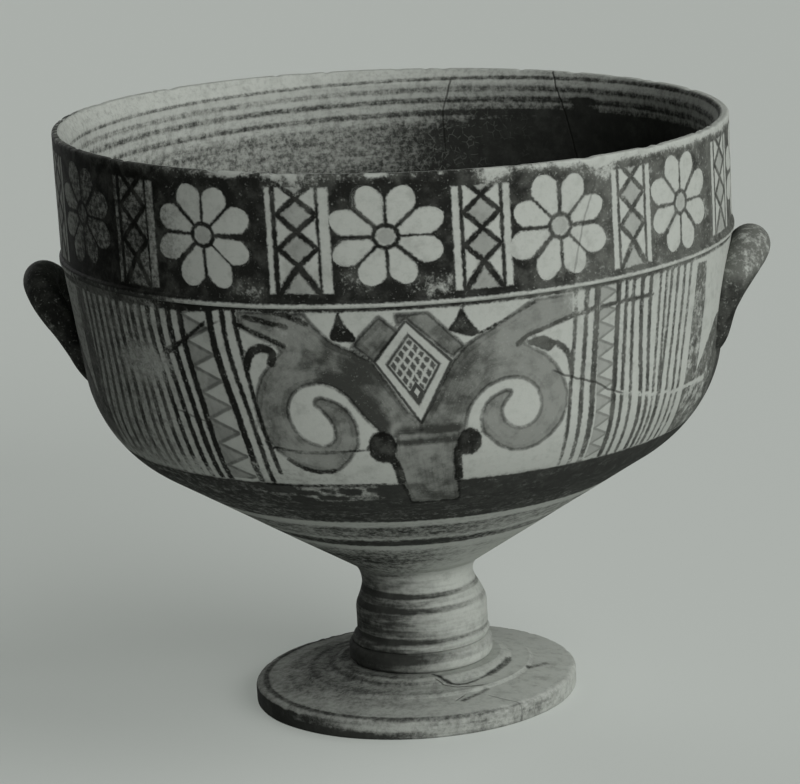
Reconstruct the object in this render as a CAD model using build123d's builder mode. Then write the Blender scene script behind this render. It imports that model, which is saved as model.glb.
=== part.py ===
"""Painted stemmed cup with two loop handles, as a potter joins it: bowl, wall, stem, rings, foot and handles."""
import os
from math import atan2, cos, sin, sqrt

from build123d import *

os.makedirs("parts", exist_ok=True)

# Foot: a turned disc with two low steps, hollow below
foot_radius = 48.8
foot_edge_height = 6.0
edge_rise = 2.0
step_height = 0.8
tread_rise = 0.8
outer_tread = 7.2
inner_tread = 2.6
boss_margin = 2.6
contact_width = 10.0
recess_depth = 3.0
recess_run = 4.0
socket_depth = 2.4

# Ring between foot and stem
ring_height = 6.2
ring_overhang = 1.4

# Stem: hollow, with a narrow neck above a swelling
stem_height = 24.1
stem_radius = 20.4
stem_bore = 9.0
shoulder_width = 3.0
swell_height = 8.0
neck_radius = 17.0
neck_length = 6.0
stem_round = 8.0
slip_gap = 0.15

# Coil smoothed into the angle between stem and bowl
collar_reach = 3.5
seat_margin = 1.5
tenon_length = 6.0

# Bowl: a wide cone, a rounded turn and a steep side
cone_rise = 46.5
belly_radius = 92.5
belly_round = 39.0
side_rise = 52.3
shoulder_radius = 99.3
wall = 4.6
floor_round = 12.0
scarf_drop = 3.0

# Upper wall, up to the height of the whole cup, with a raised line along the joint
cup_height = 177.0
rim_radius = 99.6
ridge_radius = 1.2

# Loop handles: two tapered legs on the side of the bowl and an arch that stands clear of it
root_drop = 38.0
root_radius = 3.8
root_cover = 0.8
arch_drop = 4.6
arch_radius = 5.6
arch_gap = 2.0
leg_spacing = 28.0

# Heights that follow from stacking the pieces
step_foot = foot_edge_height + edge_rise
boss_height = step_foot + 2 * step_height + 2 * tread_rise
stem_foot = boss_height + ring_height
bowl_base = stem_foot + stem_height
belly_height = bowl_base + cone_rise
shoulder_height = belly_height + side_rise

# Radii that follow from what fits inside what
spigot_radius = stem_radius - shoulder_width
ring_radius = stem_radius + ring_overhang
boss_radius = ring_radius + boss_margin
inner_step_radius = boss_radius + inner_tread
outer_step_radius = inner_step_radius + outer_tread
base_radius = neck_radius + seat_margin

# Slopes of the bowl and the inner outline at an even wall thickness
cone_slope = cone_rise / (belly_radius - base_radius)
cone_angle = atan2(cone_rise, belly_radius - base_radius)
side_slope = (shoulder_radius - belly_radius) / side_rise
floor_thickness = wall / cos(cone_angle)
inner_belly_radius = belly_radius + (side_slope * floor_thickness - wall) / (1 - side_slope * cone_slope)
inner_belly_height = belly_height + floor_thickness + cone_slope * (inner_belly_radius - belly_radius)
lip_round = 0.45 * wall


def side_radius_at(height):
    """Outer radius of the bowl's steep side at a height."""
    return shoulder_radius - (shoulder_height - height) * side_slope


def round_corner(sketch, radius, x, y):
    """Rounds the corner of a section nearest to a point."""
    fillet(sketch.vertices().sort_by_distance((x, y, 0))[0], radius)


# Foot
with BuildPart() as foot:
    with BuildSketch(Plane.XZ):
        with BuildLine():
            Polyline(
                (stem_bore, recess_depth),
                (foot_radius - contact_width - recess_run, recess_depth),
                (foot_radius - contact_width, 0),
                (foot_radius, 0),
                (foot_radius, foot_edge_height),
                (outer_step_radius, step_foot),
                (outer_step_radius, step_foot + step_height),
                (inner_step_radius, step_foot + step_height + tread_rise),
                (inner_step_radius, boss_height - tread_rise),
                (boss_radius, boss_height),
                (spigot_radius + slip_gap, boss_height),
                (spigot_radius + slip_gap, boss_height - socket_depth),
                (stem_bore, boss_height - socket_depth),
                close=True,
            )
        make_face()
    revolve(axis=Axis.Z)
foot.part.label = "foot"

# Ring, round on its outer side
with BuildPart() as base_ring:
    with BuildSketch(Plane.XZ) as ring_section:
        with BuildLine():
            Polyline(
                (spigot_radius, boss_height),
                (ring_radius, boss_height),
                (ring_radius, stem_foot),
                (spigot_radius, stem_foot),
                close=True,
            )
        make_face()
        ring_round = 0.4 * min(ring_height, ring_radius - spigot_radius)
        round_corner(ring_section, ring_round, ring_radius, boss_height)
        round_corner(ring_section, ring_round, ring_radius, stem_foot)
    revolve(axis=Axis.Z)
base_ring.part.label = "base_ring"

# Stem, with its spigot through the ring and into the foot
with BuildPart() as stem:
    with BuildSketch(Plane.XZ) as stem_section:
        with BuildLine():
            Polyline(
                (stem_bore, boss_height - socket_depth),
                (spigot_radius, boss_height - socket_depth),
                (spigot_radius, stem_foot),
                (stem_radius, stem_foot),
                (stem_radius, stem_foot + swell_height),
                (neck_radius, bowl_base - neck_length),
                (neck_radius, bowl_base),
                (stem_bore, bowl_base),
                close=True,
            )
        make_face()
        round_corner(stem_section, stem_round, stem_radius, stem_foot + swell_height)
        round_corner(stem_section, stem_round, neck_radius, bowl_base - neck_length)
    revolve(axis=Axis.Z)
stem.part.label = "stem"

# Coil in the angle under the bowl, hollow-faced and tangent to the stem and to the cone
angle_foot = bowl_base - seat_margin * cone_slope
collar_low = (neck_radius, angle_foot - collar_reach)
collar_high = (neck_radius + collar_reach * cos(cone_angle), angle_foot + collar_reach * sin(cone_angle))
with BuildPart() as neck_collar:
    with BuildSketch(Plane.XZ):
        with BuildLine():
            TangentArc(collar_low, collar_high, tangent=(0, 1))
            Polyline(collar_high, (base_radius, bowl_base), (neck_radius, bowl_base), collar_low)
        make_face()
    revolve(axis=Axis.Z)
neck_collar.part.label = "neck_collar"

# Lower bowl, with its tenon in the stem's bore and a bevelled upper edge
with BuildPart() as lower_bowl:
    with BuildSketch(Plane.XZ) as bowl_section:
        with BuildLine():
            Polyline(
                (0, bowl_base - tenon_length),
                (stem_bore - slip_gap, bowl_base - tenon_length),
                (stem_bore - slip_gap, bowl_base),
                (base_radius, bowl_base),
                (belly_radius, belly_height),
                (shoulder_radius, shoulder_height),
                (shoulder_radius - wall, shoulder_height - scarf_drop),
                (inner_belly_radius, inner_belly_height),
                (base_radius, bowl_base + floor_thickness),
                (0, bowl_base + floor_thickness),
                close=True,
            )
        make_face()
        round_corner(bowl_section, belly_round, belly_radius, belly_height)
        round_corner(bowl_section, belly_round - wall, inner_belly_radius, inner_belly_height)
        round_corner(bowl_section, floor_round, base_radius, bowl_base + floor_thickness)
    revolve(axis=Axis.Z)
lower_bowl.part.label = "lower_bowl"

# Upper wall, seated on the bevel, with the raised line and a rounded lip
with BuildPart() as upper_wall:
    with BuildSketch(Plane.XZ) as wall_section:
        with BuildLine():
            Polyline(
                (shoulder_radius, shoulder_height),
                (rim_radius, cup_height),
                (rim_radius - wall, cup_height),
                (shoulder_radius - wall, shoulder_height - scarf_drop),
                close=True,
            )
        make_face()
        round_corner(wall_section, lip_round, rim_radius, cup_height)
        round_corner(wall_section, lip_round, rim_radius - wall, cup_height)
        with Locations((shoulder_radius, shoulder_height + ridge_radius)):
            Circle(ridge_radius)
    revolve(axis=Axis.Z)
upper_wall.part.label = "upper_wall"

# Handles: the legs lean out from their roots in the side to the arch near the shoulder
half_spacing = leg_spacing / 2
root_height = shoulder_height - root_drop
arch_height = shoulder_height - arch_drop
root_place = sqrt(side_radius_at(root_height) ** 2 - half_spacing**2) - root_radius - root_cover
arch_place = side_radius_at(arch_height) + arch_gap + arch_radius
lean = atan2(arch_place - root_place, arch_height - root_height)
leg_length = (arch_height - root_height) / cos(lean) - half_spacing
leg_plane = Plane(origin=(root_place, 0, root_height), x_dir=(0, 1, 0), z_dir=(sin(lean), 0, cos(lean)))
arch_plane = leg_plane.offset(leg_length)

with BuildPart() as handle_right:
    with Locations(leg_plane):
        with GridLocations(leg_spacing, 0, 2, 1):
            Cone(root_radius, arch_radius, leg_length, align=(Align.CENTER, Align.CENTER, Align.MIN))
    with BuildSketch(arch_plane):
        with Locations((half_spacing, 0)):
            Circle(arch_radius)
    revolve(axis=Axis(arch_plane.origin, arch_plane.y_dir), revolution_arc=-180)
    with BuildSketch(Plane.XZ) as body_section:
        with BuildLine():
            Polyline(
                (0, bowl_base),
                (base_radius, bowl_base),
                (belly_radius, belly_height),
                (shoulder_radius, shoulder_height),
                (rim_radius, cup_height),
                (0, cup_height),
                close=True,
            )
        make_face()
        round_corner(body_section, belly_round, belly_radius, belly_height)
        with Locations((shoulder_radius, shoulder_height + ridge_radius)):
            Circle(ridge_radius)
    revolve(axis=Axis.Z, mode=Mode.SUBTRACT)
handle_right.part.label = "handle_right"

with BuildPart() as handle_left:
    mirror(handle_right.part, about=Plane.YZ)
handle_left.part.label = "handle_left"

for piece in (foot, base_ring, stem, neck_collar, lower_bowl, upper_wall, handle_right, handle_left):
    export_step(piece.part, f"parts/{piece.part.label}.step")
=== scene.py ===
from math import acos, ceil, cos, pi, radians, sin, sqrt, tan

import bpy
import numpy as np
from mathutils import Matrix, Vector


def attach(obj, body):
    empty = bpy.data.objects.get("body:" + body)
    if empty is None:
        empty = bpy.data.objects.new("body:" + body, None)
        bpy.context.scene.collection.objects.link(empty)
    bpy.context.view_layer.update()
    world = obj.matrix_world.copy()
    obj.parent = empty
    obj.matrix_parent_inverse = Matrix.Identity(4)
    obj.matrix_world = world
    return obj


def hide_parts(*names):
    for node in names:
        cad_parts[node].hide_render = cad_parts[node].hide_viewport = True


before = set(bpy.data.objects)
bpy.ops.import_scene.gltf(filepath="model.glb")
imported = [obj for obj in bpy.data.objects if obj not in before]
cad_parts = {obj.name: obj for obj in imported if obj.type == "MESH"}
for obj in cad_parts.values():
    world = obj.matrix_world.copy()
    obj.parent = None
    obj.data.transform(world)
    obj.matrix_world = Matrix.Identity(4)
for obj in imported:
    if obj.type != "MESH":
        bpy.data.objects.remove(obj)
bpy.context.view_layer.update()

MM = 0.001
rng = np.random.default_rng(31)

# Sizes in millimetres, as in the part's source
foot_radius = 48.8
foot_edge_height = 6.0
contact_width = 10.0
recess_depth = 3.0
recess_run = 4.0
step_foot = 8.0
outer_step_radius = 34.2
inner_step_radius = 27.0
boss_radius = 24.4
boss_height = 11.2
socket_depth = 2.4
slip_gap = 0.15
spigot_radius = 17.4
ring_radius = 21.8
stem_foot = 17.4
stem_radius = 20.4
stem_bore = 9.0
swell_height = 8.0
neck_radius = 17.0
neck_length = 6.0
collar_reach = 3.5
bowl_base = 41.5
base_radius = 18.5
tenon_length = 6.0
belly_radius = 92.5
belly_height = 88.0
belly_round = 39.0
floor_round = 12.0
shoulder_radius = 99.3
shoulder_height = 140.3
wall = 4.6
scarf_drop = 3.0
rim_radius = 99.6
cup_height = 177.0
cone_slope = (belly_height - bowl_base) / (belly_radius - base_radius)
side_slope = (shoulder_radius - belly_radius) / (shoulder_height - belly_height)
floor_thickness = wall * sqrt(1 + cone_slope**2)
floor_height = bowl_base + floor_thickness
inner_belly_radius = belly_radius + (side_slope * floor_thickness - wall) / (1 - side_slope * cone_slope)
inner_belly_height = belly_height + floor_thickness + cone_slope * (inner_belly_radius - belly_radius)

# How the thrown cup departs from true: slopes of its tip to the right, and shifts off the axis
bowl_tip = 0.005
wall_tip = 0.0233
foot_shift = 2.0
shift_start = 22.0
stem_shift = 0.9

# The painted panel's middle lies this far round from the front, in degrees
view_turn = 6.0
half_round = 180.0
millimetres_per_degree = 1.69


# Node trees

class Graph:
    """A node tree that is being built."""

    def __init__(self, tree):
        self.tree = tree
        tree.nodes.clear()

    def node(self, kind, settings=None, sockets=None, out=0):
        """Adds a node, its settings first and then the values or links of its sockets."""
        made = self.tree.nodes.new(kind)
        for name, value in (settings or {}).items():
            setattr(made, name, value)
        for key, value in (sockets or {}).items():
            if isinstance(value, Flow):
                self.tree.links.new(value.socket, made.inputs[key])
            else:
                made.inputs[key].default_value = value
        return Flow(self, made.outputs[out]) if made.outputs else made

    def math(self, operation, *values):
        """A Math node on numbers."""
        return self.node("ShaderNodeMath", {"operation": operation}, dict(enumerate(values)))

    def least(self, first, *others):
        """The smallest of several numbers."""
        for other in others:
            first = self.math("MINIMUM", first, other)
        return first

    def most(self, first, *others):
        """The largest of several numbers."""
        for other in others:
            first = self.math("MAXIMUM", first, other)
        return first

    def size_of(self, value):
        """A number without its sign."""
        return self.math("ABSOLUTE", value)

    def ramp(self, value, low, high):
        """0 at low, 1 at high, smooth between."""
        ends = {"Value": value, "From Min": low, "From Max": high}
        return self.node("ShaderNodeMapRange", {"interpolation_type": "SMOOTHSTEP"}, ends)

    def mix(self, share, first, second):
        """A colour between two."""
        sockets = {0: share, 6: first, 7: second}
        return self.node("ShaderNodeMix", {"data_type": "RGBA"}, sockets, out=2)

    def split(self, vector):
        """A vector's X, Y and Z."""
        return self.node("ShaderNodeSeparateXYZ", None, {0: vector})

    def scaled(self, vector, length):
        """A vector times a number."""
        return self.node("ShaderNodeVectorMath", {"operation": "SCALE"}, {0: vector, "Scale": length})

    def moved(self, place, by):
        """The sum of two vectors."""
        return self.node("ShaderNodeVectorMath", {"operation": "ADD"}, {0: place, 1: by})

    def in_sight(self):
        """1 for what the camera sees, straight or in gloss and glass."""
        ray = self.node("ShaderNodeLightPath")
        return self.most(ray["Is Camera Ray"], ray["Is Glossy Ray"], ray["Is Transmission Ray"])


class Flow:
    """A socket that takes part in sums: each operator adds a Math node."""

    def __init__(self, graph, socket):
        self.graph, self.socket = graph, socket

    def __getitem__(self, name):
        return Flow(self.graph, self.socket.node.outputs[name])

    def __add__(self, other):
        return self.graph.math("ADD", self, other)

    def __sub__(self, other):
        return self.graph.math("SUBTRACT", self, other)

    def __rsub__(self, other):
        return self.graph.math("SUBTRACT", other, self)

    def __mul__(self, other):
        return self.graph.math("MULTIPLY", self, other)

    def __truediv__(self, other):
        return self.graph.math("DIVIDE", self, other)

    def __rtruediv__(self, other):
        return self.graph.math("DIVIDE", other, self)

    __radd__ = __add__
    __rmul__ = __mul__


def new_group(name, *inputs):
    """A geometry tree with a Geometry input, named inputs (name, socket type) and a Geometry output."""
    tree = bpy.data.node_groups.new(name, "GeometryNodeTree")
    for label, kind in (("Geometry", "NodeSocketGeometry"), *inputs):
        tree.interface.new_socket(label, in_out="INPUT", socket_type=kind)
    tree.interface.new_socket("Geometry", in_out="OUTPUT", socket_type="NodeSocketGeometry")
    return tree


def grown(name, data, tree, **values):
    """The plain mesh that a geometry tree makes of an object's data."""
    maker = bpy.data.objects.new(name + "_maker", data)
    bpy.context.scene.collection.objects.link(maker)
    modifier = maker.modifiers.new("shape", "NODES")
    modifier.node_group = tree
    for item in tree.interface.items_tree:
        if item.in_out == "INPUT" and item.name in values:
            modifier[item.identifier] = values[item.name]
    seen = maker.evaluated_get(bpy.context.evaluated_depsgraph_get())
    mesh = bpy.data.meshes.new_from_object(seen)
    bpy.data.objects.remove(maker)
    mesh.name = name
    return mesh


def vertices(mesh):
    """The places of a mesh's vertices."""
    place = np.zeros(len(mesh.vertices) * 3, np.float32)
    mesh.vertices.foreach_get("co", place)
    return place.reshape(-1, 3).astype(float)


class TubeTree(Graph):
    """A geometry tree that gives each row of an open tube its place."""

    def __init__(self, name):
        counts = [("Segments", "NodeSocketInt"), ("Rows", "NodeSocketInt")]
        uneven = [("Waviness", "NodeSocketFloat"), ("Seed", "NodeSocketFloat")]
        super().__init__(new_group(name, *counts, *uneven))
        self.given = self.node("NodeGroupInput")
        self.rows = self.given["Rows"]
        counts = {"Vertices": self.given["Segments"], "Side Segments": self.rows}
        sizes = {"Radius": 1.0, "Depth": 1.0}
        self.tube = self.node("GeometryNodeMeshCylinder", {"fill_type": "NONE"}, counts | sizes)
        self.place = self.node("GeometryNodeInputPosition")
        self.spot = self.split(self.place)
        self.row = self.math("ROUND", (0.5 - self.spot["Z"]) * self.rows)

    def waves(self, place, scale, detail):
        """How far uneven hands move a place in or out."""
        sockets = {"Vector": place, "W": self.given["Seed"], "Scale": scale, "Detail": detail}
        noise = self.node("ShaderNodeTexNoise", {"noise_dimensions": "4D"}, sockets)
        return (noise - 0.5) * self.given["Waviness"]

    def shaped(self, place, material):
        """Puts the rows in place, merges the vertices that meet and ends the tree."""
        settings = {"data_type": "INT", "domain": "POINT"}
        number = {"Geometry": self.tube, "Name": "row", "Value": self.row}
        marked = self.node("GeometryNodeStoreNamedAttribute", settings, number)
        bent = self.node("GeometryNodeSetPosition", None, {"Geometry": marked, "Position": place})
        closed = self.node("GeometryNodeMergeByDistance", None, {"Geometry": bent, "Distance": 2e-6})
        whole = self.node("GeometryNodeRealizeInstances", None, {"Geometry": closed})
        coloured = self.node("GeometryNodeSetMaterial", None, {"Geometry": whole, "Material": material})
        self.node("NodeGroupOutput", None, {"Geometry": coloured})
        return self.tree


# Turned pieces

def section(*corners):
    """Points of a section line through (radius, height, rounding, row spacing) corners."""
    points = []
    runs = []
    for i, (radius, height, rounding, spacing) in enumerate(corners):
        here = np.array((radius, height), float)
        if rounding and 0 < i < len(corners) - 1:
            back = np.array(corners[i - 1][:2]) - here
            ahead = np.array(corners[i + 1][:2]) - here
            back, ahead = back / np.linalg.norm(back), ahead / np.linalg.norm(ahead)
            half = acos(np.clip(back @ ahead, -1, 1)) / 2
            middle = here + (back + ahead) / np.linalg.norm(back + ahead) * rounding / sin(half)
            start, end = here + back * rounding / tan(half), here + ahead * rounding / tan(half)
            first = np.arctan2(*(start - middle)[::-1])
            sweep = (np.arctan2(*(end - middle)[::-1]) - first + pi) % (2 * pi) - pi
            count = max(4, ceil(abs(sweep) * rounding / spacing))
            turns = first + sweep * np.linspace(0, 1, count + 1)
            arc = middle + rounding * np.stack((np.cos(turns), np.sin(turns)), 1)
        else:
            arc = here[None]
        if points:
            last = points[-1]
            count = max(1, ceil(np.linalg.norm(arc[0] - last) / runs[-1]))
            points.extend([last + (arc[0] - last) * k / count for k in range(1, count)])
        points.extend(arc)
        runs.append(spacing)
    return np.array(points)


def turned_tree(material):
    """A section line swept round the axis, with the slight waviness that hands leave on the wheel."""
    g = TubeTree("turned_" + material.name)
    sample = {"Geometry": g.given["Geometry"], "Value": g.place, "Index": g.row}
    line = g.split(g.node("GeometryNodeSampleIndex", {"data_type": "FLOAT_VECTOR"}, sample))
    around = {"X": g.spot["X"] * line["X"], "Y": g.spot["Y"] * line["X"], "Z": line["Z"]}
    placed = g.node("ShaderNodeCombineXYZ", None, around)
    push = g.waves(placed, scale=38.0, detail=3.0)
    outward = g.node("ShaderNodeCombineXYZ", None, {"X": g.spot["X"] * push, "Y": g.spot["Y"] * push})
    return g.shaped(g.moved(placed, outward), material)


def wrapped(angle):
    """An angle in degrees, from -180 to 180."""
    return (angle + half_round) % (2 * half_round) - half_round


class Turned:
    """A turned mesh with, for each vertex, its view angle in degrees and its row's radius and height."""

    def __init__(self, name, material, points, segments, waviness, seed):
        line = bpy.data.meshes.new(name + "_section")
        rows = len(points) - 1
        upright = np.stack((points[:, 0], np.zeros(len(points)), points[:, 1]), 1) * MM
        line.from_pydata(upright.tolist(), [(k, k + 1) for k in range(rows)], [])
        sizes = {"Segments": segments, "Rows": rows, "Waviness": waviness * MM, "Seed": seed}
        self.mesh = grown(name, line, turned_tree(material), **sizes)
        self.points = points
        self.place = vertices(self.mesh)
        row = np.zeros(len(self.place), np.int32)
        self.mesh.attributes["row"].data.foreach_get("value", row)
        self.row = np.clip(row, 0, rows)
        self.radius, self.height = points[self.row].T
        steps = np.linalg.norm(np.diff(points, axis=0), axis=1)
        self.arc = np.concatenate(([0.0], np.cumsum(steps)))
        turn = np.degrees(np.arctan2(self.place[:, 0], -self.place[:, 1]))
        self.angle = wrapped(turn - view_turn)

    def row_at(self, radius, height):
        """The row nearest to a place on the section line."""
        return int(np.argmin(np.hypot(self.points[:, 0] - radius, self.points[:, 1] - height)))

    def unrolled(self, strips):
        """Adds a map for baking: the unrolled surface, cut into strips that lie one above another."""
        mesh, place = self.mesh, self.place
        corner = np.zeros(len(mesh.loops), np.int32)
        mesh.loops.foreach_get("vertex_index", corner)
        face_of = np.repeat(np.arange(len(mesh.polygons)), [p.loop_total for p in mesh.polygons])
        turn = np.arctan2(place[:, 0], -place[:, 1])
        middle = np.zeros((len(mesh.polygons), 2))
        np.add.at(middle, face_of, place[corner][:, :2])
        middle = np.arctan2(middle[:, 0], -middle[:, 1])
        away = (turn[corner] - middle[face_of] + pi) % (2 * pi) - pi
        on_axis = np.hypot(place[corner, 0], place[corner, 1]) < 1e-5
        away[on_axis] = 0
        share = (middle[face_of] + away) / (2 * pi) + 0.5
        strip = np.clip(np.floor((middle / (2 * pi) + 0.5) * strips), 0, strips - 1)[face_of]
        down = (self.arc / self.arc[-1])[self.row]
        margin = 0.01
        u = margin + (share * strips - strip) * (1 - 2 * margin)
        v = (strip + margin + down[corner] * (1 - 2 * margin)) / strips
        layer = mesh.uv_layers.new(name="OFBake")
        layer.data.foreach_set("uv", np.stack((u, v), 1).ravel())


def settled(place):
    """Points as the real cup stands: the rim tips to the right and the foot was thrown off centre."""
    place = place / MM
    turn = radians(view_turn)
    right = place[:, 0] * cos(turn) + place[:, 1] * sin(turn)
    radius = np.hypot(place[:, 0], place[:, 1])
    height = place[:, 2]
    above = np.clip((height - shoulder_height) / (cup_height - shoulder_height), 0, 1.2)
    slope = bowl_tip * np.clip(height / shoulder_height, 0, 1) + wall_tip * above
    in_foot = np.clip((radius - shift_start) / (foot_radius - shift_start), 0, 1.1)
    in_foot = in_foot * np.clip((stem_foot - height) / 4, 0, 1)
    in_stem = rising(height, stem_foot, stem_foot + 3) * falling(height, 31, 39)
    aside = stem_shift * in_stem - foot_shift * in_foot
    moved = place.copy()
    moved[:, 0] += aside * cos(turn)
    moved[:, 1] += aside * sin(turn)
    moved[:, 2] -= slope * right
    return moved * MM


def finished(name, mesh, place, node, layers):
    """Puts a mesh into the scene as a piece that stands for a node, with its paint layers."""
    mesh.vertices.foreach_set("co", settled(place).astype(np.float32).ravel())
    # The trees wind the faces inward
    mesh.flip_normals()
    mesh.attributes.remove(mesh.attributes["row"])
    for layer, values in layers.items():
        flat = np.ndim(values) < 2
        made = mesh.attributes.new(layer, "FLOAT" if flat else "FLOAT_VECTOR", "POINT")
        if flat:
            values = np.broadcast_to(values, len(mesh.vertices))
        made.data.foreach_set("value" if flat else "vector", np.asarray(values, np.float32).ravel())
    mesh.polygons.foreach_set("use_smooth", [True] * len(mesh.polygons))
    mesh.set_sharp_from_angle(angle=radians(50))
    mesh.update()
    piece = bpy.data.objects.new(name, mesh)
    bpy.context.scene.collection.objects.link(piece)
    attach(piece, "root")
    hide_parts(node)


# Painted shapes

def rising(value, low, high):
    """0 up to low, 1 from high, smooth between."""
    t = np.clip((value - low) / (high - low), 0, 1)
    return t * t * (3 - 2 * t)


def falling(value, low, high):
    """1 up to low, 0 from high, smooth between."""
    return rising(-value, -high, -low)


def flowing(points, closed=False, parts=5):
    """A smooth line through points."""
    points = np.array(points, float)
    if closed:
        run = np.vstack((points[-1:], points, points[:2]))
    else:
        run = np.vstack((2 * points[:1] - points[1:2], points, 2 * points[-1:] - points[-2:-1]))
    out = []
    t = np.linspace(0, 1, parts, endpoint=False)[:, None]
    for a, b, c, d in zip(run, run[1:], run[2:], run[3:]):
        bend = (2 * a - 5 * b + 4 * c - d) * t**2 + (3 * b - a - 3 * c + d) * t**3
        out.append(0.5 * (2 * b + (c - a) * t + bend))
    out.append(run[-2:-1])
    return np.vstack(out)


def joined(*distances):
    """Distance to the nearest of several shapes."""
    return np.minimum.reduce(distances)


class Canvas:
    """Shapes on an unrolled surface, as distances in millimetres to their edges, below zero inside."""

    def __init__(self, across, down):
        self.across, self.down = across, down

    def nearest(self, points):
        """Distance to a line through points."""
        best = np.full(self.across.shape, nowhere)
        for (x0, y0), (x1, y1) in zip(points, points[1:]):
            dx, dy = x1 - x0, y1 - y0
            along = ((self.across - x0) * dx + (self.down - y0) * dy) / max(dx * dx + dy * dy, 1e-9)
            along = np.clip(along, 0, 1)
            best = np.minimum(best, np.hypot(self.across - x0 - along * dx, self.down - y0 - along * dy))
        return best

    def stroke(self, points, width):
        """A flowing brush stroke."""
        return self.nearest(flowing(points)) - width / 2

    def ruled(self, points, width):
        """A line with straight runs."""
        return self.nearest(points) - width / 2

    def shape(self, points, smooth=False):
        """A filled outline."""
        ring = flowing(points, closed=True) if smooth else np.array(points + points[:1], float)
        inside = np.zeros(self.across.shape, bool)
        for (x0, y0), (x1, y1) in zip(ring, ring[1:]):
            if y0 != y1:
                crosses = (y0 > self.down) != (y1 > self.down)
                inside ^= crosses & (self.across < (x1 - x0) * (self.down - y0) / (y1 - y0) + x0)
        edge = self.nearest(ring)
        return np.where(inside, -edge, edge)

    def oval(self, x, y, half_x, half_y):
        """A filled oval."""
        away = np.hypot((self.across - x) / half_x, (self.down - y) / half_y)
        return (away - 1) * min(half_x, half_y)

    def soft(self, x, y, half_x, half_y):
        """1 in the middle of a patch, falling to 0 at its edge."""
        away = np.hypot((self.across - x) / half_x, (self.down - y) / half_y)
        return np.clip(1 - away, 0, 1) ** 0.7

    def patches(self, patches):
        """The sum of soft patches, each (x, y, half width, half height, amount)."""
        return sum(amount * self.soft(*patch) for *patch, amount in patches)


# Upper wall's paint: rosettes and lattice panels left pale on a dark ground

nowhere = 99.0
bare = 9.0
wall_degree = 1.735
ground_end = 35.4
rosette_angles = [-63.2, -32.3, -1.8, 26.6, 53.4]
rosette_drops = [17.2, 17.5, 17.2, 18.3, 18.6]
rosette_sizes = [(0.9, 1.0), (0.9, 1.0), (0.895, 0.98), (0.927, 0.904), (1.0, 0.913)]
rosette_count, rosette_reach = 12, 18
hidden_size = (0.92, 0.95)
lattice_angles = [-47.1, -15.85, 13.4, 40.95]
lattice_halves = [8.4, 9.0, 8.2, 7.4]
lattice_drops = [0.6, 0.0, 0.7, 1.1]
lattice_half, lattice_reach, lattice_lag = 8.5, 11, 1.3
hidden_half, hidden_drop = 8.1, 0.5
uneven_bars = 0.32
wall_wear = [
    (-27, 3, 10, 6, 0.9), (8, 31, 7, 5, 0.9), (-12, 28.5, 6, 6, 0.8), (27, 2, 6, 5, 1.2),
    (-43, 32, 7, 4, 0.8), (61, 2, 6, 6, 0.9), (-5, 0, 4, 2, 1.0), (-46, 0, 5, 2, 1.0),
    (14, 31, 4, 4, 0.5),
]


def rosette_places():
    """Angle and drop below the lip of every rosette: those in view as painted, the rest evenly."""
    hidden = rosette_count - len(rosette_angles)
    gap = 360 - (rosette_angles[-1] - rosette_angles[0])
    angles = rosette_angles + [rosette_angles[-1] + gap * (k + 1) / (hidden + 1) for k in range(hidden)]
    drops = rosette_drops + [17.0 + rng.uniform(-0.6, 0.6) for _ in range(hidden)]
    return list(zip(angles, drops))


def wall_motifs(angle, depth):
    """Places in the nearest rosette, with its number, and lattice panel, with its bars' unevenness."""
    places = rosette_places()
    rosette = np.full((len(angle), 3), nowhere)
    lattice = np.full((len(angle), 3), nowhere)
    for k, (middle, drop) in enumerate(places):
        wide, tall = rosette_sizes[k] if k < len(rosette_sizes) else hidden_size
        across = wrapped(angle - middle) * wall_degree
        up = np.where(np.abs(across) < rosette_reach, (drop - depth) * tall, nowhere)
        near = np.abs(across) < np.abs(rosette[:, 0])
        rosette[near] = np.stack((across * wide, up, np.full(angle.shape, k + 1.0)), 1)[near]
        after = places[(k + 1) % len(places)][0]
        seen = k < len(lattice_angles)
        middle = lattice_angles[k] if seen else middle + wrapped(after - middle) / 2 + lattice_lag
        half = lattice_halves[k] if seen else hidden_half
        across = wrapped(angle - middle) * wall_degree * lattice_half / half
        drop = lattice_drops[k] if seen else hidden_drop
        down = np.where(np.abs(across) < lattice_reach, depth - drop, nowhere)
        near = np.abs(across) < np.abs(lattice[:, 0])
        uneven = np.full(angle.shape, uneven_bars if k < 2 else 0.0)
        lattice[near] = np.stack((across, down, uneven), 1)[near]
    return rosette, lattice


def wall_layers(angle, depth):
    """Dark ground, strength and wear on the outside of the upper wall, and painted shade on its left."""
    canvas = Canvas(angle * wall_degree, depth)
    lip = 0.8 * rising(angle, 8, 34) * falling(angle, 100, 140) - 0.9
    lip += 2.2 * rising(np.abs(angle), 95, 120)
    fade = rising(angle, 10, 36) * falling(angle, 90, 150)
    worn = canvas.patches(wall_wear) + (0.5 + 0.6 * fade) * falling(depth, 0.2, 3.6)
    return {
        "dark": np.maximum(depth - ground_end, lip - depth),
        "wash": bare,
        "strong": 0.95 - 0.4 * fade,
        "wear": worn + 0.36 * fade + 0.1 * rising(np.abs(angle), 110, 180),
        "banded": 0.0,
        # The second term darkens the wall round the view's left, where it turns from the light: painted
        # shade
        "smear": 0.3 * rising(depth, 35, 36) + 0.95 * falling(np.abs(angle + 55), 8, 24),
        "marks": 0.05,
    }


# Lower zone's paint: a volute tree between ruled borders, twice round the bowl

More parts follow.
